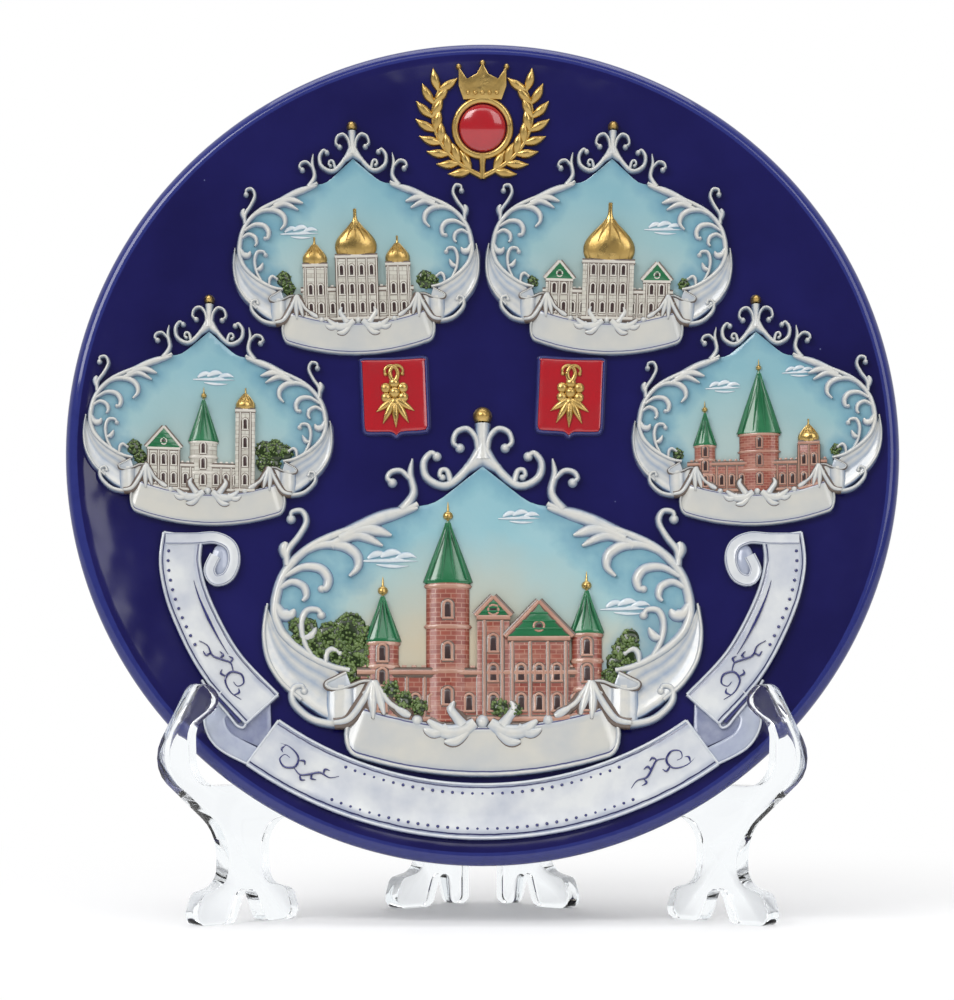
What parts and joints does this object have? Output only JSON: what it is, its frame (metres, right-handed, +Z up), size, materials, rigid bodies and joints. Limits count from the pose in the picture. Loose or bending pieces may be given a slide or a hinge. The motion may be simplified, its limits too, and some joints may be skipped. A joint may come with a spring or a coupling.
{
  "type": "souvenir plate on easel",
  "caption": "Dished relief plate with painted scenes in scroll frames, ribbons and a gilded crest, standing in a clear folding plate easel.",
  "frame": {"origin": "on the table under the middle of the whole object", "axes": "+Z up, +X to the right of the plate, the plate faces -Y"},
  "size_m": [0.2, 0.0762, 0.2108],
  "materials": {
    "cobalt_glaze": "deep cobalt gloss glaze",
    "bare_clay": "unglazed bisque",
    "sky_enamel": "pale aqua paint under a thin glaze",
    "cream_relief": "cream white with a blue wash in the recesses",
    "blue_wash": "blue grey wash",
    "brick_red": "brick red paint",
    "roof_green": "dark green paint",
    "leaf_green": "leaf green paint",
    "gilding": "gold lustre",
    "red_enamel": "glossy red enamel",
    "clear_plastic": "clear moulded plastic, polished",
    "clear_pin": "clear moulded plastic"
  },
  "bodies": {
    "hinge": {"hinge_pin": "clear_pin"},
    "left_leaf": {"left_panel": "clear_plastic"},
    "right_leaf": {"right_panel": "clear_plastic"},
    "plate": {"plate_body": "cobalt_glaze", "foot_ring": "bare_clay", "left_hang_arc": "bare_clay", "right_hang_arc": "bare_clay", "main_field": "sky_enamel", "main_frame": "cream_relief", "main_ribbon": "cream_relief", "main_building": "brick_red", "main_roofs": "roof_green", "main_gilding": "gilding", "main_trees": "leaf_green", "villa_field": "sky_enamel", "villa_frame": "cream_relief", "villa_ribbon": "cream_relief", "villa_building": "cream_relief", "villa_gilding": "gilding", "villa_trees": "leaf_green", "rotunda_field": "sky_enamel", "rotunda_frame": "cream_relief", "rotunda_ribbon": "cream_relief", "rotunda_building": "cream_relief", "rotunda_roofs": "roof_green", "rotunda_gilding": "gilding", "harbour_field": "sky_enamel", "harbour_frame": "cream_relief", "harbour_ribbon": "cream_relief", "harbour_building": "cream_relief", "harbour_roofs": "roof_green", "harbour_gilding": "gilding", "harbour_trees": "leaf_green", "gate_field": "sky_enamel", "gate_frame": "cream_relief", "gate_ribbon": "cream_relief", "gate_building": "brick_red", "gate_roofs": "roof_green", "gate_gilding": "gilding", "left_shield": "red_enamel", "right_shield": "red_enamel", "left_charge": "gilding", "right_charge": "gilding", "crest": "gilding", "crest_stone": "red_enamel", "banner_middle": "cream_relief", "banner_folds": "blue_wash", "banner_tails": "cream_relief"}
  },
  "joints": [
    {"name": "plate_lift", "type": "slide", "parent": "hinge", "child": "plate", "axis": [0, 0, 1], "range_m": [0, 0.3]},
    {"name": "left_fold", "type": "hinge", "parent": "hinge", "child": "left_leaf", "pos_m": [0, 0.03506, 0.06], "axis": [0, 0, 1], "range_deg": [0, 45]},
    {"name": "right_fold", "type": "hinge", "parent": "hinge", "child": "right_leaf", "pos_m": [0, 0.03506, 0.06], "axis": [0, 0, -1], "range_deg": [0, 45]}
  ],
  "couplings": [
    {"joint": "left_fold", "follows": "plate_lift", "rad_per_m": 2.6179},
    {"joint": "right_fold", "follows": "plate_lift", "rad_per_m": 2.6179}
  ]
}
